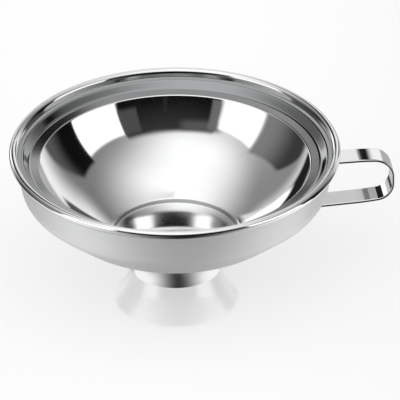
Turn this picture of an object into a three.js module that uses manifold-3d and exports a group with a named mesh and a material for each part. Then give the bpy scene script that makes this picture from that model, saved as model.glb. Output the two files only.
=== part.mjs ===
// Canning funnel in stainless steel: a wide bowl with a stepped, rolled rim, an outer shell that backs
// it, a short flared neck, and a bent strap for a handle.
//
// Millimetres, +Z up. The origin is on the ground under the middle of the whole object, so the funnel's
// own axis lies on the -X side of it and the handle reaches out along +X.
// Outlines are drawn in the half plane of radius and height, as Vector2(radius, height).

import * as THREE from "three";
import { mergeVertices } from "three/addons/utils/BufferGeometryUtils.js";
import Module from "manifold-3d";

const wasm = await Module();
wasm.setup();

// Driving dimensions
const RIM_DIAMETER = 140; // across the outside of the rolled rim
const HEIGHT = 56.8; // from the neck's lower edge to the top of the rim
const NECK_BORE = 37.6; // inside the neck at its lower edge
const THROAT_DIAMETER = 53.4; // where the bowl meets the neck
const THROAT_HEIGHT = 16.2;
const HANDLE_REACH = 93; // from the funnel's axis to the handle's far face
const SHEET = 0.6; // thickness of the bowl, the shell and the neck
const GAP = 0.3; // clearance left between pieces that touch

// Rim and ledge of the inner bowl
const BEAD_DIAMETER = 3.4; // the rolled rim, outside
const SLOPE_WIDTH = 5.4; // the sloping band below the rolled rim
const LEDGE_WIDTH = 4.2; // the flat ledge
const LEDGE_DEPTH = 7.3; // below the top of the rim
const SLOPE_TOP_RADIUS = 1.2;
const SLOPE_FOOT_RADIUS = 1.5;
const CREASE_RADIUS = 0.9; // where the ledge turns down into the bowl

// Outer shell
const SHELL_INSET = 3.8; // the wall's outer face, in from the rolled rim's
const WALL_TAPER = 1.3; // how far the wall draws in down to the knee
const KNEE_DEPTH = 18.5; // below the top of the rim
const KNEE_RADIUS = 9.5;
const UNDERSIDE_BEND_AWAY = 5.95; // from the bowl's polished face
const UNDERSIDE_BEND_SHARE = 0.444; // of the way along the bowl, from the throat to the crease
const UNDERSIDE_RADIUS = 25;
const FLANGE_RADIUS = 0.8; // where the shell turns out under the rim and up into it

// Neck
const NECK_FLARE_RADIUS = 27;
const SHELL_FOOT_DROP = 2.7; // below the throat, where the shell's underside ends at the neck
const THROAT_WELD_WIDTH = 1;
const NECK_WELD_RADIUS = 0.6;

// Handle
const STRAP = 1; // thickness
const STRAP_WIDTH = 10.5;
const UPPER_LEG_DEPTH = 10.4; // below the top of the rim
const LOWER_LEG_TILT = THREE.MathUtils.degToRad(2.3);
const UPPER_BEND_RADIUS = 6.5;
const LOWER_BEND_RADIUS = 4.5;
const UPPER_FOOT_BEND = 1.3;
const LOWER_FOOT_BEND = 3;
const UPPER_FOOT_DROP = 0.7; // below the top of the shell's wall
const LOWER_FOOT_FLAT = 0.2; // between its own bend and the one it shares with the underside
const LOWER_FOOT_LENGTH = 6.3; // past the bend of the underside
const SPOT_DIAMETER = 1.6; // weld spots that hold the feet
const SPOT_CROWN = 0.25;
const SPOT_SPACING = 5.4; // across the strap
const UPPER_SPOT_DROP = 1.6; // below the end of the upper foot
const LOWER_SPOT_RUN = 3.6; // before the end of the lower foot

// Fineness of the faceted surfaces
const SEGMENTS = 60;
const BEAD_STEPS = 12;
const BOWL_STEPS = 9;
const FLARE_STEPS = 7;
const CORNER_STEPS = 2;
const KNEE_STEPS = 5;
const ROUND_STEPS = 8;
const SPOT_SEGMENTS = 12;

// Places that several pieces share
const rimRadius = RIM_DIAMETER / 2;
const beadRadius = BEAD_DIAMETER / 2;
const curlRadius = beadRadius - SHEET;
const ledgeHeight = HEIGHT - LEDGE_DEPTH;
const beadCentre = new THREE.Vector2(rimRadius - beadRadius, HEIGHT - beadRadius);
const slopeTop = new THREE.Vector2(rimRadius - BEAD_DIAMETER, HEIGHT - BEAD_DIAMETER);
const slopeFoot = new THREE.Vector2(slopeTop.x - SLOPE_WIDTH, ledgeHeight);
const crease = new THREE.Vector2(slopeFoot.x - LEDGE_WIDTH, ledgeHeight);
const throat = new THREE.Vector2(THROAT_DIAMETER / 2, THROAT_HEIGHT);
const neckFoot = new THREE.Vector2(NECK_BORE / 2, 0);

// The bowl is part of a ball whose centre lies on the axis and which passes through crease and throat.
const bowlCentre = new THREE.Vector2(
  0,
  (crease.lengthSq() - throat.lengthSq()) / (2 * (crease.y - throat.y)),
);
const bowlRadius = bowlCentre.distanceTo(crease);

// The neck flares along an arc from its foot to the throat, and the arc's centre lies outside the neck.
const flareChord = throat.clone().sub(neckFoot);
const flareCentre = neckFoot
  .clone()
  .add(throat)
  .multiplyScalar(1 / 2)
  .addScaledVector(
    rightOf(flareChord.clone().normalize()),
    Math.sqrt(NECK_FLARE_RADIUS ** 2 - flareChord.lengthSq() / 4),
  );

// The direction to the right hand of a traveller in the given direction.
function rightOf(direction) {
  return new THREE.Vector2(direction.y, -direction.x);
}

// The angle from one direction to another, counter-clockwise.
function turnOf(comes, goes) {
  return Math.atan2(comes.cross(goes), comes.dot(goes));
}

// How far a rounding of a corner reaches along each of its sides.
function reachOf(radius, comes, goes) {
  return radius * Math.tan(Math.abs(turnOf(comes, goes)) / 2);
}

function onCircle(centre, radius, angle) {
  return new THREE.Vector2(centre.x + radius * Math.cos(angle), centre.y + radius * Math.sin(angle));
}

// Points of an arc at equal steps, both ends included.
function arc(centre, radius, from, to, steps) {
  const step = (to - from) / steps;
  return Array.from({ length: steps + 1 }, (_, i) => onCircle(centre, radius, from + step * i));
}

function angleAbout(centre, point) {
  return Math.atan2(point.y - centre.y, point.x - centre.x);
}

// A line through corner points, each { at, radius, steps }, with an arc where a radius is given.
// Each point of the result carries the offset that moves it one unit to the right of the line.
function bentLine(corners) {
  const line = [];
  corners.forEach(({ at, radius = 0, steps = CORNER_STEPS }, i) => {
    const before = corners[i - 1]?.at ?? at;
    const after = corners[i + 1]?.at ?? at;
    const comes = at.clone().sub(before).normalize();
    const goes = after.clone().sub(at).normalize();
    if (i === 0) comes.copy(goes);
    if (i === corners.length - 1) goes.copy(comes);
    const turn = turnOf(comes, goes);
    if (radius === 0) {
      const aside = rightOf(comes.clone().add(goes).normalize());
      line.push({ point: at.clone(), aside: aside.multiplyScalar(1 / Math.cos(turn / 2)) });
      return;
    }
    const start = at.clone().addScaledVector(comes, -reachOf(radius, comes, goes));
    const centre = start.clone().addScaledVector(rightOf(comes), -radius * Math.sign(turn));
    for (let k = 0; k <= steps; k++) {
      const aside = rightOf(comes).rotateAround(new THREE.Vector2(), (turn * k) / steps);
      line.push({ point: centre.clone().addScaledVector(aside, radius * Math.sign(turn)), aside });
    }
  });
  return line;
}

function shifted(line, distance) {
  return line.map(({ point, aside }) => point.clone().addScaledVector(aside, distance));
}

// Where a line through a point, followed in the given direction, enters a circle.
function meetCircle(from, direction, centre, radius) {
  const toCentre = centre.clone().sub(from);
  const along = toCentre.dot(direction);
  const reach = Math.sqrt(radius ** 2 - (toCentre.lengthSq() - along ** 2));
  return from.clone().addScaledVector(direction, along - reach);
}

// Where two lines cross, each given by a point and a direction.
function meetLine(from, direction, other, otherDirection) {
  const apart = other.clone().sub(from);
  return from
    .clone()
    .addScaledVector(direction, apart.cross(otherDirection) / direction.cross(otherDirection));
}

// A ring or shell of revolution from a closed outline.
function revolved(outline, segments = SEGMENTS) {
  const points = THREE.ShapeUtils.area(outline) < 0 ? [...outline].reverse() : [...outline];
  return new THREE.LatheGeometry([...points, points[0]], segments).rotateX(Math.PI / 2);
}

// Sheet metal of revolution: the line is its face, and its thickness lies to the right of the line.
function sheetOf(line) {
  return revolved([...shifted(line, 0), ...shifted(line, SHEET).reverse()]);
}

// A side outline extruded evenly to both sides of the plane y = 0.
function acrossStrap(outline, width) {
  return new THREE.ExtrudeGeometry(new THREE.Shape(outline), { depth: width, bevelEnabled: false })
    .rotateX(Math.PI / 2)
    .translate(0, width / 2, 0);
}

function solidOf(geometry) {
  const bare = geometry.clone();
  bare.deleteAttribute("normal");
  bare.deleteAttribute("uv");
  const merged = mergeVertices(bare);
  return new wasm.Manifold(
    new wasm.Mesh({
      numProp: 3,
      vertProperties: merged.attributes.position.array,
      triVerts: new Uint32Array(merged.index.array),
    }),
  );
}

function geometryOf(solid) {
  const { vertProperties, triVerts } = solid.getMesh();
  return new THREE.BufferGeometry()
    .setAttribute("position", new THREE.BufferAttribute(vertProperties, 3))
    .setIndex(new THREE.BufferAttribute(triVerts, 1));
}

// Finishes
const mirrorSteel = { color: 0xe6e7e8, roughness: 0.06, metalness: 1 };
const satinSteel = { color: 0xb9bbbc, roughness: 0.38, metalness: 1 };
const weldSteel = { color: 0xa5a7a8, roughness: 0.5, metalness: 1 };

function piece(name, geometry, finish) {
  const mesh = new THREE.Mesh(geometry, new THREE.MeshStandardMaterial(finish));
  mesh.name = name;
  return mesh;
}

// Inner bowl: the polished skin, from the throat up over crease and ledge to the rolled rim.
// The roll is open below, and its mouth takes in the shell's flange.
function innerBowl() {
  const throatAngle = angleAbout(bowlCentre, throat) + (THROAT_WELD_WIDTH / 2 + GAP) / bowlRadius;
  const creaseAngle = angleAbout(bowlCentre, crease);
  const ball = arc(bowlCentre, bowlRadius, throatAngle, creaseAngle, BOWL_STEPS);
  const mouth = (2 * SHEET + 2 * GAP - beadRadius) / curlRadius;
  const roll = arc(beadCentre, beadRadius, Math.PI, Math.asin(mouth) - Math.PI / 2, BEAD_STEPS);
  return sheetOf(
    bentLine([
      ...ball.slice(0, -1).map((at) => ({ at })),
      { at: crease, radius: CREASE_RADIUS },
      { at: slopeFoot, radius: SLOPE_FOOT_RADIUS },
      { at: slopeTop, radius: SLOPE_TOP_RADIUS },
      ...roll.map((at) => ({ at })),
    ]),
  );
}

// Outer shell: its flange lies under the sloping band and stands up inside the rolled rim.
const flangeRadius = beadCentre.x - curlRadius + GAP + SHEET;
const slopeUp = slopeTop.clone().sub(slopeFoot).normalize();
const flangeLine = slopeTop.clone().addScaledVector(rightOf(slopeUp), GAP + 2 * SHEET);
const wallRadius = rimRadius - SHELL_INSET;
const knee = new THREE.Vector2(wallRadius - WALL_TAPER, HEIGHT - KNEE_DEPTH);
const wallTop = meetLine(flangeLine, slopeUp, new THREE.Vector2(wallRadius, HEIGHT), new THREE.Vector2(0, 1));
const wallDown = knee.clone().sub(wallTop).normalize();
const undersideBend = onCircle(
  bowlCentre,
  bowlRadius + UNDERSIDE_BEND_AWAY,
  THREE.MathUtils.lerp(angleAbout(bowlCentre, throat), angleAbout(bowlCentre, crease), UNDERSIDE_BEND_SHARE),
);

// The shell's upper edge at its foot keeps clear of the neck, and its face lies one sheet below that edge.
const neckOutside = NECK_FLARE_RADIUS - SHEET;
const footEdge = meetCircle(
  new THREE.Vector2(0, THROAT_HEIGHT - SHELL_FOOT_DROP),
  new THREE.Vector2(1, 0),
  flareCentre,
  neckOutside - GAP,
);
const undersideOut = undersideBend
  .clone()
  .sub(footEdge)
  .normalize()
  .rotateAround(new THREE.Vector2(), Math.asin(SHEET / undersideBend.distanceTo(footEdge)));
const undersideIn = undersideOut.clone().negate();
const shellFoot = footEdge.clone().addScaledVector(rightOf(undersideOut), SHEET);

function outerShell() {
  const flangeTop = new THREE.Vector2(flangeRadius, beadCentre.y - GAP);
  const flangeFoot = meetLine(flangeLine, slopeUp, flangeTop, new THREE.Vector2(0, 1));
  return sheetOf(
    bentLine([
      { at: flangeTop },
      { at: flangeFoot, radius: FLANGE_RADIUS },
      { at: wallTop, radius: FLANGE_RADIUS },
      { at: knee, radius: KNEE_RADIUS, steps: KNEE_STEPS },
      { at: undersideBend, radius: UNDERSIDE_RADIUS },
      { at: shellFoot },
    ]),
  );
}

// Neck: a tube that flares up to the throat, cut square at its foot.
function neck() {
  const throatEnd = angleAbout(flareCentre, throat) + (THROAT_WELD_WIDTH / 2 + GAP) / NECK_FLARE_RADIUS;
  const side = (radius) => {
    const foot = Math.PI + Math.asin(flareCentre.y / radius);
    return arc(flareCentre, radius, foot, throatEnd, FLARE_STEPS);
  };
  return revolved([...side(NECK_FLARE_RADIUS), ...side(neckOutside).reverse()]);
}

// Throat weld: the seam between the bowl's lower edge and the neck's flared end, dressed flush.
function throatWeld() {
  const half = THROAT_WELD_WIDTH / 2;
  const bowlAngle = angleAbout(bowlCentre, throat) + half / bowlRadius;
  const neckAngle = angleAbout(flareCentre, throat) + half / NECK_FLARE_RADIUS;
  return revolved([
    throat,
    onCircle(flareCentre, NECK_FLARE_RADIUS, neckAngle),
    onCircle(flareCentre, neckOutside, neckAngle),
    onCircle(bowlCentre, bowlRadius + SHEET, bowlAngle),
    onCircle(bowlCentre, bowlRadius, bowlAngle),
  ]);
}

// Neck weld: the round seam in the corner between the shell's underside and the neck's outside.
function neckWeld() {
  const away = NECK_WELD_RADIUS + GAP;
  const run = neckOutside - away;
  const centre = onCircle(flareCentre, run, angleAbout(flareCentre, shellFoot) + away / run);
  return revolved(arc(centre, NECK_WELD_RADIUS, 0, 2 * Math.PI, ROUND_STEPS).slice(0, -1));
}

// Handle: one strap bent to a U. Its upper foot turns up along the wall, and its lower foot follows the
// underside inward.
const strapAway = GAP + STRAP / 2;
const outOf = (direction) => rightOf(direction).negate();
const wallSide = wallTop.clone().addScaledVector(outOf(wallDown), strapAway);
const shoulderIn = undersideBend.clone().sub(knee).normalize();
const shoulderSide = undersideBend.clone().addScaledVector(outOf(shoulderIn), strapAway);
const undersideSide = undersideBend.clone().addScaledVector(outOf(undersideIn), strapAway);
const level = new THREE.Vector2(1, 0);
const strapEnd = HANDLE_REACH - STRAP / 2;
const upperEnd = new THREE.Vector2(strapEnd, HEIGHT - UPPER_LEG_DEPTH);
const lowerIn = new THREE.Vector2(-Math.cos(LOWER_LEG_TILT), -Math.sin(LOWER_LEG_TILT));
const upperFootTop = meetLine(
  wallSide,
  wallDown,
  new THREE.Vector2(wallSide.x, wallTop.y - UPPER_FOOT_DROP),
  level,
);
const lowerFootBend = meetLine(shoulderSide, shoulderIn, undersideSide, undersideIn);
const ownReach = reachOf(LOWER_FOOT_BEND, lowerIn, shoulderIn);
const sharedReach = reachOf(UNDERSIDE_RADIUS, shoulderIn, undersideIn);
const lowerFootStart = lowerFootBend
  .clone()
  .addScaledVector(shoulderIn, -ownReach - LOWER_FOOT_FLAT - sharedReach);
const lowerFootEnd = lowerFootBend.clone().addScaledVector(undersideIn, sharedReach + LOWER_FOOT_LENGTH);
const lowerEnd = meetLine(lowerFootStart, lowerIn, upperEnd, new THREE.Vector2(0, 1));

// A spot's place on the shell's face, and the way it points out of it.
const upperSpot = {
  at: upperFootTop
    .clone()
    .addScaledVector(wallDown, UPPER_SPOT_DROP)
    .addScaledVector(outOf(wallDown), -strapAway),
  out: outOf(wallDown),
};
const lowerSpot = {
  at: lowerFootEnd
    .clone()
    .addScaledVector(undersideIn, -LOWER_SPOT_RUN)
    .addScaledVector(outOf(undersideIn), -strapAway),
  out: outOf(undersideIn),
};

function handle() {
  const line = bentLine([
    { at: upperFootTop },
    { at: meetLine(wallSide, wallDown, upperEnd, level), radius: UPPER_FOOT_BEND, steps: ROUND_STEPS / 2 },
    { at: upperEnd, radius: UPPER_BEND_RADIUS, steps: ROUND_STEPS },
    { at: lowerEnd, radius: LOWER_BEND_RADIUS, steps: ROUND_STEPS },
    { at: lowerFootStart, radius: LOWER_FOOT_BEND },
    { at: lowerFootBend, radius: UNDERSIDE_RADIUS },
    { at: lowerFootEnd },
  ]);
  const outline = [...shifted(line, STRAP / 2), ...shifted(line, -STRAP / 2).reverse()];
  const strap = solidOf(acrossStrap(outline, STRAP_WIDTH));
  return geometryOf([upperSpot, lowerSpot].reduce((solid, spot) => drilled(solid, spot), strap));
}

// Takes out the two holes that a pair of weld spots fills.
function drilled(solid, { at, out }) {
  return [-1, 1].reduce((left, side) => {
    const hole = new THREE.CylinderGeometry(
      SPOT_DIAMETER / 2 + GAP,
      SPOT_DIAMETER / 2 + GAP,
      2 * (STRAP + GAP),
      SPOT_SEGMENTS,
    )
      .rotateX(Math.PI / 2)
      .rotateY(Math.atan2(out.x, out.y))
      .translate(at.x + out.x * strapAway, (side * SPOT_SPACING) / 2, at.y + out.y * strapAway);
    return left.subtract(solidOf(hole));
  }, solid);
}

// Spot weld: a plug that fills its hole in the foot and ends in a low crown.
function spotGeometry() {
  const radius = SPOT_DIAMETER / 2;
  const top = GAP + STRAP;
  const crownRadius = (radius ** 2 + SPOT_CROWN ** 2) / (2 * SPOT_CROWN);
  const centre = new THREE.Vector2(0, top + SPOT_CROWN - crownRadius);
  const edge = angleAbout(centre, new THREE.Vector2(radius, top));
  const crown = arc(centre, crownRadius, edge, Math.PI / 2, CORNER_STEPS);
  return new THREE.LatheGeometry(
    [
      new THREE.Vector2(0, GAP),
      new THREE.Vector2(radius, GAP),
      ...crown.slice(0, -1),
      new THREE.Vector2(0, top + SPOT_CROWN),
    ],
    SPOT_SEGMENTS,
  ).rotateX(Math.PI / 2);
}

function spotWelds() {
  const geometry = spotGeometry();
  const welds = new THREE.Group();
  for (const [foot, { at, out }] of Object.entries({ upper: upperSpot, lower: lowerSpot })) {
    for (const [place, side] of [
      ["front", -1],
      ["back", 1],
    ]) {
      const weld = piece(`${foot}_spot_weld_${place}`, geometry, weldSteel);
      weld.position.set(at.x, (side * SPOT_SPACING) / 2, at.y);
      weld.rotation.y = Math.atan2(out.x, out.y);
      welds.add(weld);
    }
  }
  return welds;
}

// The funnel stands so that the whole object, handle and all, is centred over the origin.
const funnel = new THREE.Group();
funnel.add(
  piece("inner_bowl", innerBowl(), mirrorSteel),
  piece("outer_shell", outerShell(), satinSteel),
  piece("neck", neck(), mirrorSteel),
  piece("throat_weld", throatWeld(), mirrorSteel),
  piece("neck_weld", neckWeld(), weldSteel),
  piece("handle", handle(), mirrorSteel),
  spotWelds(),
);
funnel.position.x = (rimRadius - HANDLE_REACH) / 2;

const root = new THREE.Group();
root.add(funnel);

export default root;
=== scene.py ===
# %% [markdown]
# # A stainless steel canning funnel
# The funnel is pressed and turned from thin sheet steel. A polished bowl and a satin outer shell meet in a
# rolled rim, a short flared neck is welded under them, and one bent strap makes the handle.
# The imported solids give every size, so this script only adds what they leave out: fine curves, rounded
# sheet edges, finishes, and the light that polished steel needs before it looks like steel.

import math

import bpy
import numpy as np
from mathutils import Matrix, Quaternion, Vector


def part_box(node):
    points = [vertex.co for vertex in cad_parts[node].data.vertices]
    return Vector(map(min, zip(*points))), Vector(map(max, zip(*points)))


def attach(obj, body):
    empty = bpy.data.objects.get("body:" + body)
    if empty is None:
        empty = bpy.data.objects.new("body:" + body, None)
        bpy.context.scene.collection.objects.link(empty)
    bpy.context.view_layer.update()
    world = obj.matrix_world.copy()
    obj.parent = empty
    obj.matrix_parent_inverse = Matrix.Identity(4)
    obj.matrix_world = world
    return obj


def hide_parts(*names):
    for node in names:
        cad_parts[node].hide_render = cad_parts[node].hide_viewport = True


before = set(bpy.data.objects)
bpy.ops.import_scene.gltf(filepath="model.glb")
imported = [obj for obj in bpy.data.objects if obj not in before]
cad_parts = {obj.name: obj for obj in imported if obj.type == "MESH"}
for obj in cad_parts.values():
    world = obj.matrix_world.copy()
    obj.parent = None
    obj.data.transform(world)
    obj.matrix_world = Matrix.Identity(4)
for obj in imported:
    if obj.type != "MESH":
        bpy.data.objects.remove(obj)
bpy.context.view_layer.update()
print("solids:", sorted(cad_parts))

# %% [markdown]
# ## Sizes
# All the drawing is done in millimetres, in the half plane of radius and height, the way a spun piece is
# drawn. The main sizes are read back from the solids, so that the fine surfaces stay on them.

# %% Main sizes, in millimetres
MM = 0.001
bowl_low, bowl_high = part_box("inner_bowl")
handle_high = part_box("handle")[1]
axis_x = (bowl_low.x + bowl_high.x) / 2 / MM
rim_radius = (bowl_high.x - bowl_low.x) / 2 / MM
height = bowl_high.z / MM
reach = handle_high.x / MM - axis_x
print(f"axis at x = {axis_x:.2f}, rim radius {rim_radius:.2f}, height {height:.2f}, reach {reach:.2f}")

SHEET = 0.6
STRAP = 1.0
STRAP_WIDTH = 10.5
GAP = 0.3  # clearance that the solids keep where metal is joined
bead_radius = 1.7
slope_inset, slope_width, slope_foot_depth = 3.4, 5.4, 7.3
ledge_width, crease_lift = 4.0, 0.5
throat_radius, throat_height, neck_foot_radius = 26.7, 16.2, 18.8
bead_centre = np.array([rim_radius - bead_radius, height - bead_radius])
slope_top = np.array([rim_radius - slope_inset, height - slope_inset])
slope_foot = np.array([slope_top[0] - slope_width, height - slope_foot_depth])
crease = np.array([slope_foot[0] - ledge_width, slope_foot[1] + crease_lift])
throat = np.array([throat_radius, throat_height])
neck_foot = np.array([neck_foot_radius, 0.0])


# %% [markdown]
# ## Lines with rounded corners
# Pressed sheet has no sharp corners: each bend has its radius. So a profile is written as a short list of
# corners, and the bends are worked out as arcs. Straight stretches get extra points close to each bend,
# because smooth shading blends the normals of neighbouring faces and would make a flat band look wavy.

# %% Helpers that draw a profile
def unit(vector):
    return vector / np.linalg.norm(vector)


def arc(centre, radius, start, stop, count):
    """Points at centre + radius * (cos a, sin a), for angles a at even steps from start to stop."""
    angle = np.linspace(start, stop, count)
    return centre + radius * np.column_stack([np.cos(angle), np.sin(angle)])


def straight(start, stop, pitch=1.6, near=0.12):
    """Points inside a straight stretch: one close to each end, the others no further apart than the pitch."""
    length = np.linalg.norm(stop - start)
    if length < 3 * near:
        return np.empty((0, 2))
    steps = max(1, int(np.ceil((length - 2 * near) / pitch)))
    along = np.linspace(near, length - near, steps + 1)[:, None]
    return start + along * unit(stop - start)


def bent(corners, step=math.radians(7)):
    """A line through corners (across, up, radius). An arc of the given radius touches both sides of a corner,
    its centre on the line that halves the corner."""
    places = [np.array(corner[:2], float) for corner in corners]
    stretches = []
    for i, (place, radius) in enumerate(zip(places, [corner[2] for corner in corners])):
        if radius == 0 or i in (0, len(places) - 1):
            stretches.append(place[None, :])
            continue
        back, ahead = unit(places[i - 1] - place), unit(places[i + 1] - place)
        half = math.acos(float(np.clip(back @ ahead, -1, 1))) / 2
        centre = place + unit(back + ahead) * radius / math.sin(half)
        first = place + back * radius / math.tan(half) - centre
        turn = math.copysign(math.pi - 2 * half, first[1] * back[0] - first[0] * back[1])
        start = math.atan2(first[1], first[0])
        count = max(4, int(abs(turn) / step) + 2)
        stretches.append(arc(centre, radius, start, start + turn, count))
    line = [stretches[0]]
    for i, (before, after) in enumerate(zip(stretches, stretches[1:])):
        if (after[0] - before[-1]) @ (places[i + 1] - places[i]) < 0:
            raise ValueError(f"the bends at corners {i} and {i + 1} run into each other")
        line += [straight(before[-1], after[0]), after]
    return np.vstack(line)


def beside(line, distance):
    """The line moved sideways, to the right of its direction: each point goes along the mean of the two
    neighbouring stretches' normals, a little further where the line turns."""
    steps = np.diff(line, axis=0)
    steps /= np.linalg.norm(steps, axis=1)[:, None]
    normals = np.column_stack([steps[:, 1], -steps[:, 0]])
    before, after = np.vstack([normals[:1], normals]), np.vstack([normals, normals[-1:]])
    mean = before + after
    mean /= np.linalg.norm(mean, axis=1)[:, None]
    return line + distance * mean / np.sum(mean * after, axis=1)[:, None]


def sheet_outline(line, thickness=SHEET, edge=0.1):
    """Closed outline of a sheet whose face is the line. Each cut edge is a short straight with a quarter of
    a small circle at both of its corners."""
    back = beside(line, thickness)

    def cut_edge(face_end, back_end, out):
        across = unit(back_end - face_end)
        turn = np.linspace(0, math.pi / 2, 4)[:, None]
        first = face_end + out * edge * (np.sin(turn) - 1) + across * edge * (1 - np.cos(turn))
        second = back_end + out * edge * (np.cos(turn) - 1) - across * edge * (1 - np.sin(turn))
        return np.vstack([first, second])

    far = cut_edge(line[-1], back[-1], unit(line[-1] - line[-2]))
    near = cut_edge(line[0], back[0], unit(line[0] - line[1]))[::-1]
    return np.vstack([line[1:-1], far, back[-2:0:-1], near])


print("helpers ready; a right-angled bend of radius 1 has", len(bent([(0, 0, 0), (5, 0, 1), (5, 5, 0)])),
      "points")


# %% [markdown]
# ## Surfaces from arrays
# A spun piece is its outline turned about the axis: a grid of outline points by turning angles. Blender's
# Screw modifier does the same, but the arrays give control over where each point goes, and the mesh needs
# no live modifier. The volume is measured from the faces, and it is positive when they all face outward.

# %% Helpers that make meshes
def grid_faces(rows, columns, close_rows=True, close_columns=True):
    """Four-sided faces between neighbouring rows and columns of a grid of points, numbered row by row."""
    row = np.arange(rows if close_rows else rows - 1)[:, None]
    column = np.arange(columns if close_columns else columns - 1)[None, :]
    next_row, next_column = (row + 1) % rows, (column + 1) % columns
    corners = [row * columns + column, row * columns + next_column]
    corners += [next_row * columns + next_column, next_row * columns + column]
    return np.stack(np.broadcast_arrays(*corners), axis=-1).reshape(-1, 4)


def volume_of(points, faces):
    """A sixth of the sum of a . (b x c) over the triangles, which is the enclosed volume."""
    a, b, c, d = (points[faces[:, i]] for i in range(4))
    return (np.sum(a * np.cross(b, c)) + np.sum(a * np.cross(c, d))) / 6


def new_mesh(name, points, faces, caps=()):
    """A smooth mesh from points in millimetres about the funnel's axis, moved into the frame in metres."""
    placed = (points + [axis_x, 0, 0]) * MM
    mesh = bpy.data.meshes.new(name)
    mesh.from_pydata(placed.tolist(), [], faces.tolist() + [list(cap) for cap in caps])
    mesh.polygons.foreach_set("use_smooth", np.ones(len(mesh.polygons), bool))
    mesh.validate()
    mesh.update()
    piece = bpy.data.objects.new(name, mesh)
    bpy.context.scene.collection.objects.link(piece)
    return piece


def turned_points(radius, turn, up):
    """The points (r cos t, r sin t, z): a row for each radius r and height z, a column for each angle t."""
    return np.stack(np.broadcast_arrays(radius * np.cos(turn), radius * np.sin(turn), up), -1).reshape(-1, 3)


def spun(name, outline, turns=256):
    """A closed outline (r, z) turned about the axis: (r cos t, r sin t, z) for angles t round a full turn."""
    around, up = outline[:, 0], outline[:, 1]
    if np.sum(around * np.roll(up, -1) - up * np.roll(around, -1)) < 0:
        outline = outline[::-1]
    turn = np.linspace(0, 2 * math.pi, turns, endpoint=False)
    points = turned_points(outline[:, :1], turn, outline[:, 1:])
    faces = grid_faces(len(outline), turns)[:, ::-1]
    volume = volume_of(points, faces)
    print(f"{name}: {len(faces)} faces, volume {volume:.0f} cubic mm")
    return new_mesh(name, points, faces)


# %% [markdown]
# ## Inner bowl
# The polished skin is part of a ball, with a stepped band above it and a rim rolled over outward. The ball
# is drawn as one arc, which mirrors straight lamps with the smooth bend that a true bowl gives. The band has
# a ledge that rises gently from the crease, a steep step, and a narrow shoulder under the roll. The roll
# ends in an open mouth below, where it grips the shell.

# %% Make the inner bowl
bowl_centre = np.array([0.0, (crease @ crease - throat @ throat) / (2 * (crease[1] - throat[1]))])
bowl_radius = np.linalg.norm(crease - bowl_centre)


def angle_about(centre, point):
    return math.atan2(point[1] - centre[1], point[0] - centre[0])


seam_up, seam_down = 0.3, 1.2  # how far the throat's seam reaches above and below the throat
crease_setback = 0.9  # the ball stops here, and the crease's bend begins
bowl_start = angle_about(bowl_centre, throat) + seam_up / bowl_radius
bowl_stop = angle_about(bowl_centre, crease) - crease_setback / bowl_radius
ball = arc(bowl_centre, bowl_radius, bowl_start, bowl_stop, 42)
step_foot, step_foot_bend = (slope_foot[0] + 0.6, slope_foot[1] + 0.95), 2.0
step_head, step_head_bend = (slope_foot[0] + 3.1, slope_top[1] - 0.05), 1.4
crease_bend, under_roll_bend = 0.8, 0.3
ledge_and_step = bent([
    (*ball[-1], 0),
    (*crease, crease_bend),
    (*step_foot, step_foot_bend),
    (*step_head, step_head_bend),
    (*slope_top, under_roll_bend),
    (slope_top[0], bead_centre[1], 0),
], step=math.radians(4))
roll = arc(bead_centre, bead_radius, math.pi, math.radians(-84), 44)
bowl_line = np.vstack([ball[:-1], ledge_and_step[:-1], roll])
inner_bowl = spun("polished_bowl", sheet_outline(bowl_line))
print(f"the bowl is part of a ball of radius {bowl_radius:.1f} mm")

# %% [markdown]
# ## Outer shell
# A second, satin skin hangs from the rolled rim, runs down to a rounded knee and slopes in to the neck. It
# is bent from one line as well. Its upper edge is out of sight inside the roll.

# %% Make the outer shell
slope_up = unit(slope_top - slope_foot)
right_of_slope = np.array([slope_up[1], -slope_up[0]])
flange_line = slope_top + right_of_slope * (GAP + 2 * SHEET)
flange_radius = bead_centre[0] - (bead_radius - SHEET) + GAP + SHEET
wall_inset, knee_inset, knee_depth = 3.8, 1.3, 18.5
wall_radius = rim_radius - wall_inset


def on_flange(radius):
    return flange_line[1] + (radius - flange_line[0]) * slope_up[1] / slope_up[0]


knee = np.array([wall_radius - knee_inset, height - knee_depth])
underside_bend = np.array([47.49, 23.89])
shell_foot = np.array([25.15, 12.69])
flange_bend, knee_radius, underside_radius = 0.8, 9.5, 25
shell_line = bent([
    (flange_radius, bead_centre[1] - GAP, 0),
    (flange_radius, on_flange(flange_radius), flange_bend),
    (wall_radius, on_flange(wall_radius), flange_bend),
    (*knee, knee_radius),
    (*underside_bend, underside_radius),
    (*shell_foot, 0),
])
outer_shell = spun("satin_shell", sheet_outline(shell_line))
print(f"the shell's wall starts at height {on_flange(wall_radius):.1f} mm")

# %% [markdown]
# ## Neck and seams
# The neck flares along one arc and is cut square at its foot. Two seams hold it: the one in the throat is
# dressed down to a soft ridge, and the one under the shell is left as a round bead with fine ripples, the
# mark of weld metal that set step by step. The ripples are waves in the bead's radius.

# %% Make the neck and the two seams
FLARE = 27.0
chord = throat - neck_foot
off_chord = math.sqrt(FLARE**2 - chord @ chord / 4)
flare_centre = (throat + neck_foot) / 2 + np.array([chord[1], -chord[0]]) / np.linalg.norm(chord) * off_chord
foot_angle = math.pi + math.asin(flare_centre[1] / FLARE)
seam_angle = angle_about(flare_centre, throat) + seam_down / FLARE
neck_line = arc(flare_centre, FLARE, foot_angle, seam_angle, 26)
neck_outline = sheet_outline(neck_line, edge=0.12)
neck_outline[:, 1] = np.maximum(neck_outline[:, 1], 0)
neck = spun("polished_neck", neck_outline)

seam_line = bent([(*neck_line[-1], 0), (*throat, 0.8), (*ball[0], 0)], step=math.radians(2.5))
throat_seam = spun("dressed_throat_seam", sheet_outline(seam_line, edge=0.02))


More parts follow.
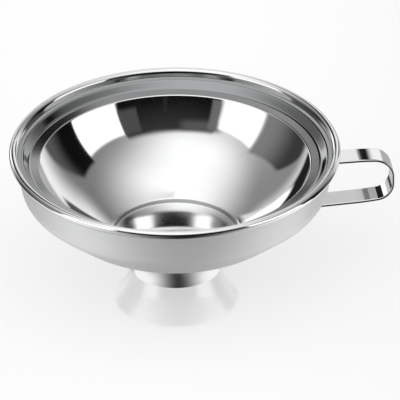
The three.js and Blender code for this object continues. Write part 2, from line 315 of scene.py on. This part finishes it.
def rippled_bead(name, centre, radius, ripples=190, depth=0.05, turns=760, sides=14):
    """A ring round the axis: centre + radius * (cos s, sin s) in the half plane, with the radius growing and
    shrinking by depth along a wave that runs round the ring and lags behind at its sides."""
    turn = np.linspace(0, 2 * math.pi, turns, endpoint=False)[None, :]
    side = np.linspace(0, 2 * math.pi, sides, endpoint=False)[:, None]
    swell = radius + depth * np.cos(ripples * turn + 1.2 * np.cos(side + 0.9))
    r, z = centre[0] + swell * np.cos(side), centre[1] + swell * np.sin(side)
    points = turned_points(r, turn, z)
    faces = grid_faces(sides, turns)[:, ::-1]
    print(f"{name}: {len(faces)} faces, volume {volume_of(points, faces):.1f} cubic mm")
    return new_mesh(name, points, faces)


weld_low, weld_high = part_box("neck_weld")
solid_weld_radius, weld_radius = 0.6, 0.88
weld_shift = [0.1, 0.15]  # outward and up, deeper into the corner between the neck and the shell
weld_place = np.array([weld_high.x / MM - axis_x - solid_weld_radius, (weld_low.z + weld_high.z) / 2 / MM])
neck_weld = rippled_bead("rippled_neck_weld", weld_place + weld_shift, weld_radius)

# %% [markdown]
# ## Handle
# One strap is bent to a U and its two feet lie on the shell. A strap is a short profile carried along a
# path: the path is drawn with the same bends as before, and the profile is a flat bar with rounded edges,
# the way a deburred strip is. Bent strap is never quite straight, so both legs have a very slow curve that
# eases them into the bends. The ends are closed with one face each.

# %% Make the handle
def bar_profile(width, thickness, edge=0.28, count=5):
    """Corner arcs of a bar, as offsets (across the strap, through its thickness), with extra points on the
    flats close to the arcs."""
    half_width, half = width / 2 - edge, thickness / 2 - edge
    quarter = np.linspace(0, math.pi / 2, count)
    corners = []
    for side, up, start in ((1, 1, 0), (-1, 1, 1), (-1, -1, 2), (1, -1, 3)):
        angle = quarter + start * math.pi / 2
        corners.append(np.column_stack([side * half_width + edge * np.cos(angle),
                                        up * half + edge * np.sin(angle)]))
    flat = np.array([0.9, 0.3, -0.3, -0.9])[:, None] * [half_width, 0]
    return np.vstack([corners[0], flat + [0, thickness / 2], corners[1], corners[2],
                      -flat - [0, thickness / 2], corners[3]])


def strap_along(name, path, profile):
    """Each path point (radius, height) carries the profile: across goes to y, through goes along the path's
    own normal, so the bar keeps its thickness round every bend."""
    normals = beside(path, 1.0) - path
    across, through = profile[:, 0], profile[:, 1]
    x = path[:, :1] - normals[:, :1] * through
    z = path[:, 1:] - normals[:, 1:] * through
    points = np.stack([x, np.broadcast_to(across, x.shape), z], -1).reshape(-1, 3)
    rows, columns = len(path), len(profile)
    faces = grid_faces(rows, columns, close_rows=False)
    caps = [list(range(columns)), list(range((rows - 1) * columns, rows * columns))]
    if volume_of(points, faces) < 0:
        faces = faces[:, ::-1]
        caps[1].reverse()
    else:
        caps[0].reverse()
    print(f"{name}: {len(faces)} faces, about {volume_of(points, faces):.0f} cubic mm")
    return new_mesh(name, points, faces, caps)


wall_top = np.array([wall_radius, on_flange(wall_radius)])
wall_down = unit(knee - wall_top)
shoulder_in = unit(underside_bend - knee)
underside_in = unit(shell_foot - underside_bend)
strap_end = reach - STRAP / 2


def out_of(direction):
    return np.array([-direction[1], direction[0]])


def crossing(place, direction, other, other_direction):
    """Where two lines cross: the step along the first that leaves no offset across the second."""
    apart = other - place
    span = direction[0] * other_direction[1] - direction[1] * other_direction[0]
    return place + direction * (apart[0] * other_direction[1] - apart[1] * other_direction[0]) / span


SEAT = 0.02  # the hair of room under a foot that lies on the shell
upper_leg_depth, foot_top_depth = 10.4, 0.7
foot_flat, foot_length, lower_leg_length = 4.0, 9.0, 12.5
away = STRAP / 2 + SEAT
level, upright = np.array([1.0, 0.0]), np.array([0.0, 1.0])
tilt = math.radians(2.3)
lower_in = np.array([-math.cos(tilt), -math.sin(tilt)])
upper_end = np.array([strap_end, height - upper_leg_depth])
wall_side = wall_top + out_of(wall_down) * away
upper_foot_top = crossing(wall_side, wall_down, np.array([0, wall_top[1] - foot_top_depth]), level)
upper_foot_bend = crossing(wall_side, wall_down, upper_end, level)
lower_foot_bend = crossing(underside_bend + out_of(shoulder_in) * away, shoulder_in,
                           underside_bend + out_of(underside_in) * away, underside_in)
lower_foot_start = lower_foot_bend - shoulder_in * foot_flat
lower_foot_end = lower_foot_bend + underside_in * foot_length
lower_end = crossing(lower_foot_start, lower_in, upper_end, upright)
EASE = 0.5  # how far a leg's slow curve leaves its straight line
upper_leg_length = 11.4
upper_bend, lower_bend = 8.4, 7.2
upper_leg_curve, lower_leg_curve = 75, 95
upper_foot_radius, lower_foot_radius = 1.3, 3
foot_curve = underside_radius + STRAP / 2  # follows the shell's own bend
handle_path = bent([
    (*upper_foot_top, 0),
    (*(upper_foot_bend + upright * EASE), upper_foot_radius),
    (strap_end - upper_leg_length, upper_end[1] + EASE, upper_leg_curve),
    (strap_end, upper_end[1] - EASE, upper_bend),
    (*(lower_end + upright * EASE), lower_bend),
    (*(lower_end + lower_in * lower_leg_length - upright * EASE * 0.3), lower_leg_curve),
    (*lower_foot_start, lower_foot_radius),
    (*lower_foot_bend, foot_curve),
    (*lower_foot_end, 0),
], step=math.radians(3))
handle = strap_along("bent_strap_handle", handle_path, bar_profile(STRAP_WIDTH, STRAP))
print(f"upper leg at height {upper_end[1]:.1f}, lower leg at {lower_end[1]:.1f}")


# %% [markdown]
# ## Weld spots
# Two spots hold each foot. A spot is a low crown with a shallow ring pressed round it by the electrode. It
# is a profile turned about the spot's own axis, then laid on the strap. The crown's middle and the middle
# of its hidden underside are closed as fans of thin faces.

# %% Make the four weld spots
def weld_spot(name, place, out, side, radius=0.8, turns=40):
    """Height over the strap: a cosine crown falling to the rim, carried round the spot's own axis. The axis
    points along out, which lies in the plane y = 0."""
    share = np.array([0, 0.3, 0.55, 0.75, 0.88, 1.0, 1.0, 0.97, 0.0])
    lift = np.array([0.25, 0.235, 0.19, 0.13, 0.07, 0.0, -0.25, -0.3, -0.3])
    turn = np.linspace(0, 2 * math.pi, turns, endpoint=False)[None, :]
    ring = (share[1:-1] * radius)[:, None]
    local = turned_points(ring, turn, lift[1:-1, None])
    local = np.vstack([local, [[0, 0, lift[0]], [0, 0, lift[-1]]]])
    along = np.array([out[1], 0, -out[0]])
    across, outward = np.array([0.0, 1.0, 0.0]), np.array([out[0], 0, out[1]])
    base = np.array([place[0], side, place[1]])
    points = base + local[:, :1] * along + local[:, 1:2] * across + local[:, 2:] * outward
    rows = len(ring)
    faces = grid_faces(rows, turns, close_rows=False)[:, ::-1]
    step = np.arange(turns)
    top, bottom = rows * turns, rows * turns + 1
    fan = [[int(i), int((i + 1) % turns), top] for i in step]
    under = [[int((rows - 1) * turns + (i + 1) % turns), int((rows - 1) * turns + i), bottom] for i in step]
    if np.dot(np.cross(along, across), outward) < 0:
        faces, fan, under = faces[:, ::-1], [f[::-1] for f in fan], [f[::-1] for f in under]
    return new_mesh(name, points, faces, fan + under)


from_foot_top, from_foot_end, spot_side = 1.6, 3.6, 2.7
upper_spot = upper_foot_top + wall_down * from_foot_top + out_of(wall_down) * STRAP / 2
lower_spot = lower_foot_end - underside_in * from_foot_end + out_of(underside_in) * STRAP / 2
weld_spots = {}
for foot, place, out in (("upper", upper_spot, out_of(wall_down)),
                         ("lower", lower_spot, out_of(underside_in))):
    for spot_place, side in (("front", -spot_side), ("back", spot_side)):
        node = f"{foot}_spot_weld_{spot_place}"
        weld_spots[node] = weld_spot(f"{foot}_weld_spot_{spot_place}", place, out, side)
print("weld spots:", sorted(weld_spots))

# %% [markdown]
# ## Marks that several finishes share
# Two effects come back in every finish. Turned lines are the fine rings that a lathe or a polishing mop
# leaves, so they follow the funnel's axis. Handling marks are the faint smears left by use and wiping, larger
# and without direction. Each is a node group, built once, and each finish sets its own strength.

# %% Helpers that build nodes
def add(tree, kind, settings=None, **inputs):
    """A new node. An input given as a socket is linked, and anything else becomes the input's own value."""
    node = tree.nodes.new(kind)
    for key, value in (settings or {}).items():
        setattr(node, key, value)
    for key, value in inputs.items():
        numbered = key[0] == "_" and key[1:].isdigit()
        socket = node.inputs[int(key[1:]) if numbered else key.replace("_", " ")]
        if isinstance(value, bpy.types.NodeSocket):
            tree.links.new(value, socket)
        else:
            socket.default_value = value
    return node


def maths(tree, operation, *values):
    """One arithmetic step, as the output socket of a Math node."""
    return add(tree, "ShaderNodeMath", {"operation": operation},
               **{f"_{i}": v for i, v in enumerate(values)}).outputs[0]


def diagonal(tree, a, b):
    """The square root of a * a + b * b."""
    return maths(tree, "SQRT",
                 maths(tree, "ADD", maths(tree, "MULTIPLY", a, a), maths(tree, "MULTIPLY", b, b)))


def ramp(tree, value, start, stop, low=0.0, high=1.0):
    """A soft step: low before start, high after stop, and an S-shaped rise between them."""
    return add(tree, "ShaderNodeMapRange", {"interpolation_type": "SMOOTHSTEP"},
               Value=value, From_Min=start, From_Max=stop, To_Min=low, To_Max=high).outputs[0]


def blend(tree, amount, low, high):
    """low where the amount is 0 and high where it is 1, for plain numbers."""
    return add(tree, "ShaderNodeMix", {"data_type": "FLOAT"}, _0=amount, _2=low, _3=high).outputs[0]


def new_group(name, inputs, outputs):
    """An empty node group with float inputs (name, value) and float outputs."""
    group = bpy.data.node_groups.new(name, "ShaderNodeTree")
    for label, value in inputs:
        group.interface.new_socket(label, in_out="INPUT", socket_type="NodeSocketFloat").default_value = value
    for label in outputs:
        group.interface.new_socket(label, in_out="OUTPUT", socket_type="NodeSocketFloat")
    return group, group.nodes.new("NodeGroupInput"), group.nodes.new("NodeGroupOutput")


# %% Turned lines, as a group
turned, given, result = new_group("turned_lines", [("Lines per metre", 2500.0), ("Waver", 1.5)],
                                  ["Line", "From Axis", "Height"])
place = add(turned, "ShaderNodeTexCoord").outputs["Object"]
centred = add(turned, "ShaderNodeMapping", Vector=place, Location=(-axis_x * MM, 0, 0)).outputs[0]
part = add(turned, "ShaderNodeSeparateXYZ", Vector=centred)
x, y, z = part.outputs
from_axis = diagonal(turned, x, y)
density, waver = given.outputs[:2]
cosine = maths(turned, "MULTIPLY", maths(turned, "DIVIDE", x, from_axis), waver)
sine = maths(turned, "MULTIPLY", maths(turned, "DIVIDE", y, from_axis), waver)
ring_place = add(turned, "ShaderNodeCombineXYZ", X=maths(turned, "MULTIPLY", from_axis, density), Y=cosine,
                 Z=sine)
lines = add(turned, "ShaderNodeTexNoise", {"noise_dimensions": "4D"}, Vector=ring_place.outputs[0],
            W=maths(turned, "MULTIPLY", z, density), Scale=1.0, Detail=3.0, Roughness=0.6)
turned.links.new(lines.outputs["Fac"], result.inputs["Line"])
turned.links.new(from_axis, result.inputs["From Axis"])
turned.links.new(z, result.inputs["Height"])
print("turned lines: noise that changes fast with radius and height, slowly round the axis")

# %% Handling marks, as a group
handled, given, result = new_group("handling_marks", [("Per metre", 45.0), ("Spread", 0.25)],
                                   ["Smear", "Wave"])
place = add(handled, "ShaderNodeTexCoord").outputs["Object"]
per_metre, spread = given.outputs[:2]
soft = add(handled, "ShaderNodeTexNoise", Vector=place, Scale=per_metre, Detail=5.0, Roughness=0.62,
           Distortion=0.6)
broad = add(handled, "ShaderNodeTexNoise", Vector=place, Scale=maths(handled, "MULTIPLY", per_metre, 0.45),
            Detail=1.0)
edge = maths(handled, "SUBTRACT", 0.62, spread)
smear = add(handled, "ShaderNodeMapRange", {"interpolation_type": "SMOOTHSTEP"}, Value=soft.outputs["Fac"],
            From_Min=edge, From_Max=0.78)
handled.links.new(smear.outputs[0], result.inputs["Smear"])
handled.links.new(broad.outputs["Fac"], result.inputs["Wave"])
print("handling marks: smears where a noise is high, and a broad wave for the pressing's unevenness")

# %% [markdown]
# ## Mirror polish
# Polished steel has almost no colour of its own: it shows the room. What makes it steel rather than glass is
# a slight blur, finer and coarser in smears, and surfaces that are never quite true, so that straight lamps
# come back with a small wobble. The blur goes to Roughness and the wobble to a very low Bump. The stepped
# band is a little duller, and a darker reflection is painted into its colour. The neck's polishing lines
# run down it, and they spread a reflection sideways.

# %% Mirror finish
def finish_nodes(name):
    material = bpy.data.materials.new(name)
    material.use_nodes = True
    tree = material.node_tree
    shader = tree.nodes["Principled BSDF"]
    return material, tree, shader


def grey_mix(tree, amount, low, high):
    """A colour between two steels, picked by the amount."""
    low, high = (value if isinstance(value, bpy.types.NodeSocket) else (*value, 1) for value in (low, high))
    return add(tree, "ShaderNodeMix", {"data_type": "RGBA"}, _0=amount, _6=low, _7=high).outputs[2]


def turned_tangent(tree, shader, amount, rotation=0.0):
    """Spreads reflections round the funnel's axis, or along a direction that is a share of a turn from it."""
    tangent = add(tree, "ShaderNodeTangent", {"direction_type": "RADIAL", "axis": "Z"})
    tree.links.new(tangent.outputs[0], shader.inputs["Tangent"])
    shader.inputs["Anisotropic"].default_value = amount
    shader.inputs["Anisotropic Rotation"].default_value = rotation


POLISHED = (0.84, 0.845, 0.845), (0.90, 0.905, 0.905)
# the stepped band's darker reflection, painted into the bowl's colour
PAINTED_REFLECTION_GREY = (0.34, 0.345, 0.35)


def mirror_finish(name, blur=0.035, smear_blur=0.05, wobble=0.12, band=None):
    """Steel between two greys. Smears and turned lines add to the blur, and a broad wave bends the mirror. A
    band, given by its inner and outer radius and its lowest height, has a painted darker reflection and is a
    little duller."""
    material, tree, shader = finish_nodes(name)
    marks = add(tree, "ShaderNodeGroup", {"node_tree": handled}, Per_metre=38.0, Spread=0.22)
    rings = add(tree, "ShaderNodeGroup", {"node_tree": turned}, Lines_per_metre=1600.0, Waver=1.2)
    roughness = maths(tree, "MULTIPLY_ADD", marks.outputs["Smear"], smear_blur,
                      maths(tree, "MULTIPLY_ADD", rings.outputs["Line"], 0.02, blur))
    colour = grey_mix(tree, rings.outputs["Line"], *POLISHED)
    if band:
        inner, outer, lowest = (value * MM for value in band)
        radius, up = rings.outputs["From Axis"], rings.outputs["Height"]
        inside = maths(tree, "MULTIPLY", ramp(tree, radius, inner, inner + 0.3 * MM),
                       ramp(tree, radius, outer - 0.2 * MM, outer, 1.0, 0.0))
        inside = maths(tree, "MULTIPLY", inside, ramp(tree, up, lowest - 0.2 * MM, lowest))
        # paints a darker reflection into the band's colour
        colour = grey_mix(tree, inside, colour, PAINTED_REFLECTION_GREY)
        roughness = maths(tree, "MULTIPLY_ADD", inside, 0.03, roughness)
    tree.links.new(roughness, shader.inputs["Roughness"])
    tree.links.new(colour, shader.inputs["Base Color"])
    bump = add(tree, "ShaderNodeBump", Strength=wobble, Distance=0.0008, Height=marks.outputs["Wave"])
    tree.links.new(bump.outputs[0], shader.inputs["Normal"])
    shader.inputs["Metallic"].default_value = 1.0
    return material, tree, shader


mirror_steel = mirror_finish("mirror_steel")[0]
# the stepped band gets its painted darker reflection here
bowl_steel = mirror_finish("bowl_steel", band=(crease[0] + 0.1, slope_top[0] + 0.2, crease[1] - 0.1))[0]
neck_steel, tree, shader = mirror_finish("neck_steel", blur=0.15, smear_blur=0.04, wobble=0.05)
turned_tangent(tree, shader, 0.9)
print("mirror finish ready")

# %% [markdown]
# ## Satin and weld
# The shell is ground with a fine belt while it turns, so its scratches run round it and spread a reflection
# up and down far more than sideways. Anisotropic does that, with its direction a quarter turn from round
# the axis. Part of the light that fine scratches send back has no direction, so Metallic is only about
# half, which leaves a matt share. Weld metal is duller and a little darker, with a trace of straw colour
# from the heat.

# %% Satin finish
satin_steel, tree, shader = finish_nodes("satin_steel")
marks = add(tree, "ShaderNodeGroup", {"node_tree": handled}, Per_metre=22.0, Spread=0.3)
rings = add(tree, "ShaderNodeGroup", {"node_tree": turned}, Lines_per_metre=3200.0, Waver=2.5)
tree.links.new(maths(tree, "MULTIPLY_ADD", rings.outputs["Line"], 0.16,
                     maths(tree, "MULTIPLY_ADD", marks.outputs["Smear"], 0.05, 0.36)),
               shader.inputs["Roughness"])
tree.links.new(grey_mix(tree, rings.outputs["Line"], (0.70, 0.705, 0.705), (0.80, 0.805, 0.805)),
               shader.inputs["Base Color"])
bump = add(tree, "ShaderNodeBump", Strength=0.12, Distance=0.00005, Height=rings.outputs["Line"])
tree.links.new(bump.outputs[0], shader.inputs["Normal"])
shader.inputs["Metallic"].default_value = 0.55
turned_tangent(tree, shader, 0.6, rotation=0.25)
print("satin finish ready")

# %% Weld finish
weld_steel, tree, shader = finish_nodes("weld_steel")
marks = add(tree, "ShaderNodeGroup", {"node_tree": handled}, Per_metre=260.0, Spread=0.35)
tree.links.new(grey_mix(tree, marks.outputs["Smear"], (0.50, 0.50, 0.50), (0.56, 0.53, 0.47)),
               shader.inputs["Base Color"])
tree.links.new(maths(tree, "MULTIPLY_ADD", marks.outputs["Wave"], 0.25, 0.32), shader.inputs["Roughness"])
bump = add(tree, "ShaderNodeBump", Strength=0.3, Distance=0.0001, Height=marks.outputs["Smear"])
tree.links.new(bump.outputs[0], shader.inputs["Normal"])
shader.inputs["Metallic"].default_value = 1.0
print("weld finish ready")

# %% Dressed seam finish
seam_steel, tree, shader = finish_nodes("dressed_seam_steel")
rings = add(tree, "ShaderNodeGroup", {"node_tree": turned}, Lines_per_metre=5200.0, Waver=2.0)
tree.links.new(grey_mix(tree, rings.outputs["Line"], (0.34, 0.345, 0.345), (0.44, 0.445, 0.445)),
               shader.inputs["Base Color"])
tree.links.new(maths(tree, "MULTIPLY_ADD", rings.outputs["Line"], 0.2, 0.2), shader.inputs["Roughness"])
shader.inputs["Metallic"].default_value = 1.0
print("seam finish ready")

# %% [markdown]
# ## Dress the pieces
# Each piece gets its finish, rides on the funnel's one body and takes the place of its solid; the list also
# gives the record's material that it shows. Steel that mirrors steel over and over turns murky, and a
# polished bowl reads best with one clean reflection, so the pieces are hidden from reflections. The neck
# alone stays visible to them, for its faint image in the floor.

# %% Finish, ride and replace
dressing = [
    (inner_bowl, bowl_steel, "mirror_steel", "inner_bowl"),
    (outer_shell, satin_steel, "satin_steel", "outer_shell"),
    (neck, neck_steel, "mirror_steel", "neck"),
    (throat_seam, seam_steel, "mirror_steel", "throat_weld"),
    (neck_weld, weld_steel, "weld_steel", "neck_weld"),
    (handle, mirror_steel, "mirror_steel", "handle"),
]
dressing += [(spot, weld_steel, "weld_steel", node) for node, spot in weld_spots.items()]
for piece, finish, slot, node in dressing:
    piece.data.materials.append(finish)
    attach(piece, "root")
    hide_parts(node)
    piece.visible_glossy = piece is neck
print(len(dressing), "pieces dressed")

# %% [markdown]
# ## Floor
# The funnel stands on a pale glossy sheet that mirrors its foot faintly. The floor is a wide disc, spun
# like the other pieces, and it belongs to the stage, not to the object. A little glow in it keeps the
# shadow faint, as light under a translucent sheet does. From underneath it is see-through, so that the
# funnel's underside can be looked at.

# %% Make the floor
spoke_count, glow_share, gloss_share = 96, 0.60, 0.20
spokes = np.linspace(0, 2 * math.pi, spoke_count, endpoint=False)
rings_at = np.array([150.0, 500.0, 1500.0, 3000.0])[:, None]
floor_points = turned_points(rings_at, spokes, 0.0)
floor = new_mesh("pale_floor", floor_points,
                 grid_faces(len(rings_at), spoke_count, close_rows=False)[:, ::-1],
                 [list(range(spoke_count))])
floor_finish, tree, shader = finish_nodes("pale_floor")
wear = add(tree, "ShaderNodeGroup", {"node_tree": handled}, Per_metre=6.0, Spread=0.2)
pale = add(tree, "ShaderNodeBsdfDiffuse",
           Color=grey_mix(tree, wear.outputs["Smear"], (0.93, 0.93, 0.93), (0.92, 0.92, 0.92)))
glow = add(tree, "ShaderNodeEmission", Color=(1, 1, 1, 1), Strength=1.03)
lit_pale = add(tree, "ShaderNodeMixShader", _0=glow_share, _1=pale.outputs[0], _2=glow.outputs[0])
gloss = add(tree, "ShaderNodeBsdfGlossy", Color=(1, 1, 1, 1), Roughness=0.12)
both = add(tree, "ShaderNodeMixShader", _0=gloss_share, _1=lit_pale.outputs[0], _2=gloss.outputs[0])
from_below = add(tree, "ShaderNodeNewGeometry").outputs["Backfacing"]
clear = add(tree, "ShaderNodeBsdfTransparent")
one_sided = add(tree, "ShaderNodeMixShader", _0=from_below, _1=both.outputs[0], _2=clear.outputs[0])
tree.links.new(one_sided.outputs[0], tree.nodes["Material Output"].inputs["Surface"])
floor.data.materials.append(floor_finish)
floor.visible_glossy = False
print("floor normal:", tuple(round(v, 2) for v in floor.data.polygons[0].normal))

# %% [markdown]
# ## The studio that the steel mirrors
# Polished steel looks right only when there is something right to mirror. The studio is painted on the
# world as a formula of two angles: the azimuth, 0 towards the front and growing towards the handle, and
# the height over the horizon. It has a white ceiling, a dark front with one tall bright window on each side
# of it, dark panels at the two sides, and a paler back with a few narrow cards. Each card is laid over what
# is under it. Angles are in degrees, and a brightness of 1 is white. Only reflections see the studio. Plain
# lamps and a plain pale world light the rest.

# %% Paint the studio
world = bpy.data.worlds.new("studio")
bpy.context.scene.world = world
world.use_nodes = True
sky = world.node_tree
sky.nodes.clear()
direction = add(sky, "ShaderNodeTexCoord").outputs["Generated"]
part = add(sky, "ShaderNodeSeparateXYZ", Vector=direction)
east, north, rise = part.outputs
degrees = 180 / math.pi
azimuth = maths(sky, "MULTIPLY", maths(sky, "ARCTAN2", east, maths(sky, "MULTIPLY", north, -1.0)), degrees)
elevation = maths(sky, "MULTIPLY", maths(sky, "ARCSINE", rise), degrees)
sideways = maths(sky, "ABSOLUTE", azimuth)
bowed = maths(sky, "MULTIPLY_ADD", maths(sky, "MULTIPLY", azimuth, azimuth), 0.0018, elevation)


def between(value, start, stop, soft=1.5):
    """1 between start and stop, falling softly to 0 outside: the product of a rising and a falling step."""
    return maths(sky, "MULTIPLY", ramp(sky, value, start - soft, start + soft),
                 ramp(sky, value, stop - soft, stop + soft, 1.0, 0.0))


def card(under, brightness, azimuths, heights, soft=1.5, soft_up=1.5, rising=None):
    """Lays a card of even brightness over what is under it, between two azimuths and two heights."""
    mask = maths(sky, "MULTIPLY", between(azimuth, *azimuths, soft),
                 between(rising or elevation, *heights, soft_up))
    return blend(sky, mask, under, brightness)


def lean(rate):
    """The height over a line that climbs at a rate with the azimuth, for cards with a slanting edge."""
    return maths(sky, "MULTIPLY_ADD", azimuth, -rate, elevation)


def oval(under, brightness, centre, half, soft=0.2):
    """Lays an oval over what is under it: the distance from its centre is measured in half widths."""
    across = maths(sky, "DIVIDE", maths(sky, "SUBTRACT", azimuth, centre[0]), half[0])
    up = maths(sky, "DIVIDE", maths(sky, "SUBTRACT", elevation, centre[1]), half[1])
    far = diagonal(sky, across, up)
    return blend(sky, ramp(sky, far, 1 - soft, 1 + soft, 1.0, 0.0), under, brightness)


off_centre = maths(sky, "ABSOLUTE", maths(sky, "ADD", azimuth, 35.0))
bright_top = ramp(sky, elevation, 20, 52, 0.62, 1.15)
dimmer = maths(sky, "ADD", ramp(sky, azimuth, 50, 130, 1.0, 0.75), ramp(sky, azimuth, 135, 175, 0.0, 0.25))
dim_top = maths(sky, "MULTIPLY", ramp(sky, elevation, 27, 78, 0.27, 1.15), dimmer)
light = blend(sky, ramp(sky, off_centre, 15, 95), bright_top, dim_top)
print("ceiling painted")

# %% Paint the front: two windows and the dark between them
dark = ramp(sky, elevation, 10, 38, 0.005, 0.03)
# the dark between the windows, and the fainter tones in it
light = card(light, dark, (-46, 41), (-40, 39.4), soft=1.5, soft_up=2.6, rising=bowed)
light = card(light, 0.10, (-52, -14), (31, 38.5), soft=6, soft_up=3, rising=bowed)
light = card(light, 0.075, (25, 42), (17, 36.5), soft=1.2, soft_up=2.5, rising=bowed)
light = card(light, 0.16, (-47, -39), (10, 34), soft=1.5)
light = card(light, 0.02, (-1.5, 1.5), (8, 30))
# the two tall windows, with slanting ends
WINDOW = 1.35
light = card(light, WINDOW, (42, 84), (-30, 39), soft=1.0, rising=lean(-0.16))
light = card(light, WINDOW, (-87, -49), (-30, 34), soft=2.4, rising=lean(0.06))
print("windows painted")

# %% Paint the sides
# right: a pale wash low down, then a dark panel with slanting edges
right_glow = maths(sky, "MULTIPLY", ramp(sky, azimuth, 112, 140), ramp(sky, elevation, 16, 34, 1.0, 0.0))
light = blend(sky, right_glow, light, 0.95)
right_tone = ramp(sky, azimuth, 99, 117, 0.005, 0.10)
right_panel = maths(sky, "MULTIPLY",
                    between(maths(sky, "MULTIPLY_ADD", elevation, 0.54, azimuth), 70, 118.5, 2.5),
                    between(lean(-0.27), -40, 52.7, 1.8))
light = blend(sky, maths(sky, "MULTIPLY", right_panel, ramp(sky, azimuth, 83.5, 85.5)), light, right_tone)
# left: a dark panel with slanting edges, then a pale wash low down
left_tone = ramp(sky, azimuth, -128, -94, 0.045, 0.22)
left_panel = maths(sky, "MULTIPLY", between(lean(0.46), 0, 71.9, 1.8), between(lean(1.44), 0, 193.6, 2.5))
light = blend(sky, maths(sky, "MULTIPLY", left_panel, ramp(sky, azimuth, -91, -85, 1.0, 0.0)), light,
              left_tone)
left_glow = maths(sky, "MULTIPLY", ramp(sky, azimuth, -151, -137, 1.0, 0.0),
                  ramp(sky, elevation, 14, 30, 1.0, 0.0))
light = blend(sky, left_glow, light, 0.68)
print("side panels painted")

# %% Paint the back
# behind to the right: a wide bright card, a grey one below it and a softer one above it
light = card(light, 1.0, (147, 200), (10, 60), soft=4, soft_up=5)
light = card(light, 0.46, (146, 200), (-50, 12), soft=3, soft_up=3)
light = card(light, 0.75, (150, 200), (37, 60), soft=4, soft_up=3)
# narrow strips side by side, and a grey patch
light = card(light, 0.012, (154, 168.6), (31.5, 39), soft=1.6, soft_up=1.2)
light = card(light, 0.008, (167.5, 171.1), (26, 33), soft=1.0, soft_up=1)
light = card(light, 0.60, (173.9, 176.2), (22, 36), soft=0.3, soft_up=2)
light = card(light, 0.20, (176.2, 178.2), (22, 36), soft=0.5, soft_up=2)
light = card(light, 0.01, (178.9, 200), (24, 44), soft=0.6, soft_up=1)
light = oval(light, 0.10, (142.5, 8.5), (5.5, 13.0))
# behind to the left: a dark card, a bright strip, a slanting one and a bright patch
light = card(light, 0.015, (-200, -151), (-27, 50), soft=3, soft_up=6)
light = card(light, 1.0, (-200, -166), (12, 23), soft=2, soft_up=1)
light = blend(sky,
              maths(sky, "MULTIPLY", between(lean(1.1), 175, 195, 3),
                    ramp(sky, azimuth, -150, -146, 1.0, 0.0)), light, 0.8)
light = oval(light, 1.3, (-155.0, 9.0), (6.0, 15.0))
print("back painted")

# %% Paint what the steel sees below the horizon
# darkest straight ahead, bright at the sides, grey behind and dim straight down
below = ramp(sky, sideways, 4, 22, 0.02, 0.10)
below = blend(sky, ramp(sky, sideways, 16, 60), below, 0.55)
below = blend(sky, ramp(sky, sideways, 45, 90), below, 1.05)
horizon = ramp(sky, sideways, 82, 108, -3.0, -32.0)
below = blend(sky, ramp(sky, sideways, 140, 165), below, 0.32)
below = maths(sky, "MULTIPLY", below, ramp(sky, elevation, -84, -48, 0.3, 1.0))
light = blend(sky, ramp(sky, maths(sky, "SUBTRACT", elevation, horizon), -4, 3, 1.0, 0.0), light, below)
# reflections see the studio, the camera sees plain white, and all else a plain pale world
path = add(sky, "ShaderNodeLightPath")
mirrored = add(sky, "ShaderNodeBackground", Color=light, Strength=1.0)
plain = add(sky, "ShaderNodeBackground", Color=(1, 1, 1, 1), Strength=0.98)
white = add(sky, "ShaderNodeBackground", Color=(1, 1, 1, 1), Strength=1.0)
lit = add(sky, "ShaderNodeMixShader", _0=path.outputs["Is Glossy Ray"], _1=plain.outputs[0],
          _2=mirrored.outputs[0])
shown = add(sky, "ShaderNodeMixShader", _0=path.outputs["Is Camera Ray"], _1=lit.outputs[0],
            _2=white.outputs[0])
through = add(sky, "ShaderNodeMixShader", _0=path.outputs["Is Transmission Ray"], _1=shown.outputs[0],
              _2=white.outputs[0])
sky.links.new(through.outputs[0], add(sky, "ShaderNodeOutputWorld").inputs["Surface"])
print("studio has", len(sky.nodes), "nodes")


# %% [markdown]
# ## Lamps
# Two large soft lamps light the floor and the satin steel. They are switched off for reflections, because
# the studio already holds everything that the mirror should show.

# %% Hang the lamps
def soft_lamp(name, azimuth_degrees, height_degrees, distance, size, power):
    """A square lamp at a distance in metres, turned to the funnel."""
    a, h = math.radians(azimuth_degrees), math.radians(height_degrees)
    way = Vector((math.sin(a) * math.cos(h), -math.cos(a) * math.cos(h), math.sin(h)))
    data = bpy.data.lights.new(name, "AREA")
    data.shape, data.size, data.energy = "SQUARE", size, power
    lamp = bpy.data.objects.new(name, data)
    bpy.context.scene.collection.objects.link(lamp)
    lamp.location = Vector((0, 0, 0.03)) + way * distance
    lamp.rotation_euler = way.to_track_quat("Z", "Y").to_euler()
    lamp.visible_glossy = False
    return lamp


soft_lamp("ceiling_lamp", 20, 78, 1.6, 1.6, 3)
soft_lamp("front_lamp", -35, 42, 1.8, 1.0, 1.5)

# %% [markdown]
# ## Camera
# The view is the catalogue's usual one, from a third of the way up and nearly square to the handle. A long
# lens from six metres keeps the rim's ellipse free of perspective, and a small roll lifts the handle.

# %% Set the camera
view_azimuth, view_height, roll = math.radians(-7.5), math.radians(30.6), math.radians(-0.5)
distance, seen_width = 6.0, 0.16924
to_camera = Vector((math.sin(view_azimuth) * math.cos(view_height),
                    -math.cos(view_azimuth) * math.cos(view_height),
                    math.sin(view_height)))
aim = Vector((-0.00114, -0.0013, 0.0317))
lens = bpy.data.cameras.new("long_lens")
lens.sensor_width = 36.0
lens.lens = lens.sensor_width * distance / seen_width
camera = bpy.data.objects.new("camera", lens)
bpy.context.scene.collection.objects.link(camera)
camera.location = aim + to_camera * distance
camera.rotation_mode = "QUATERNION"
camera.rotation_quaternion = to_camera.to_track_quat("Z", "Y") @ Quaternion((0, 0, 1), roll)
bpy.context.scene.camera = camera
bpy.context.scene.view_settings.view_transform = "Standard"
print(f"lens {lens.lens:.0f} mm, seen width {seen_width * 1000:.1f} mm")
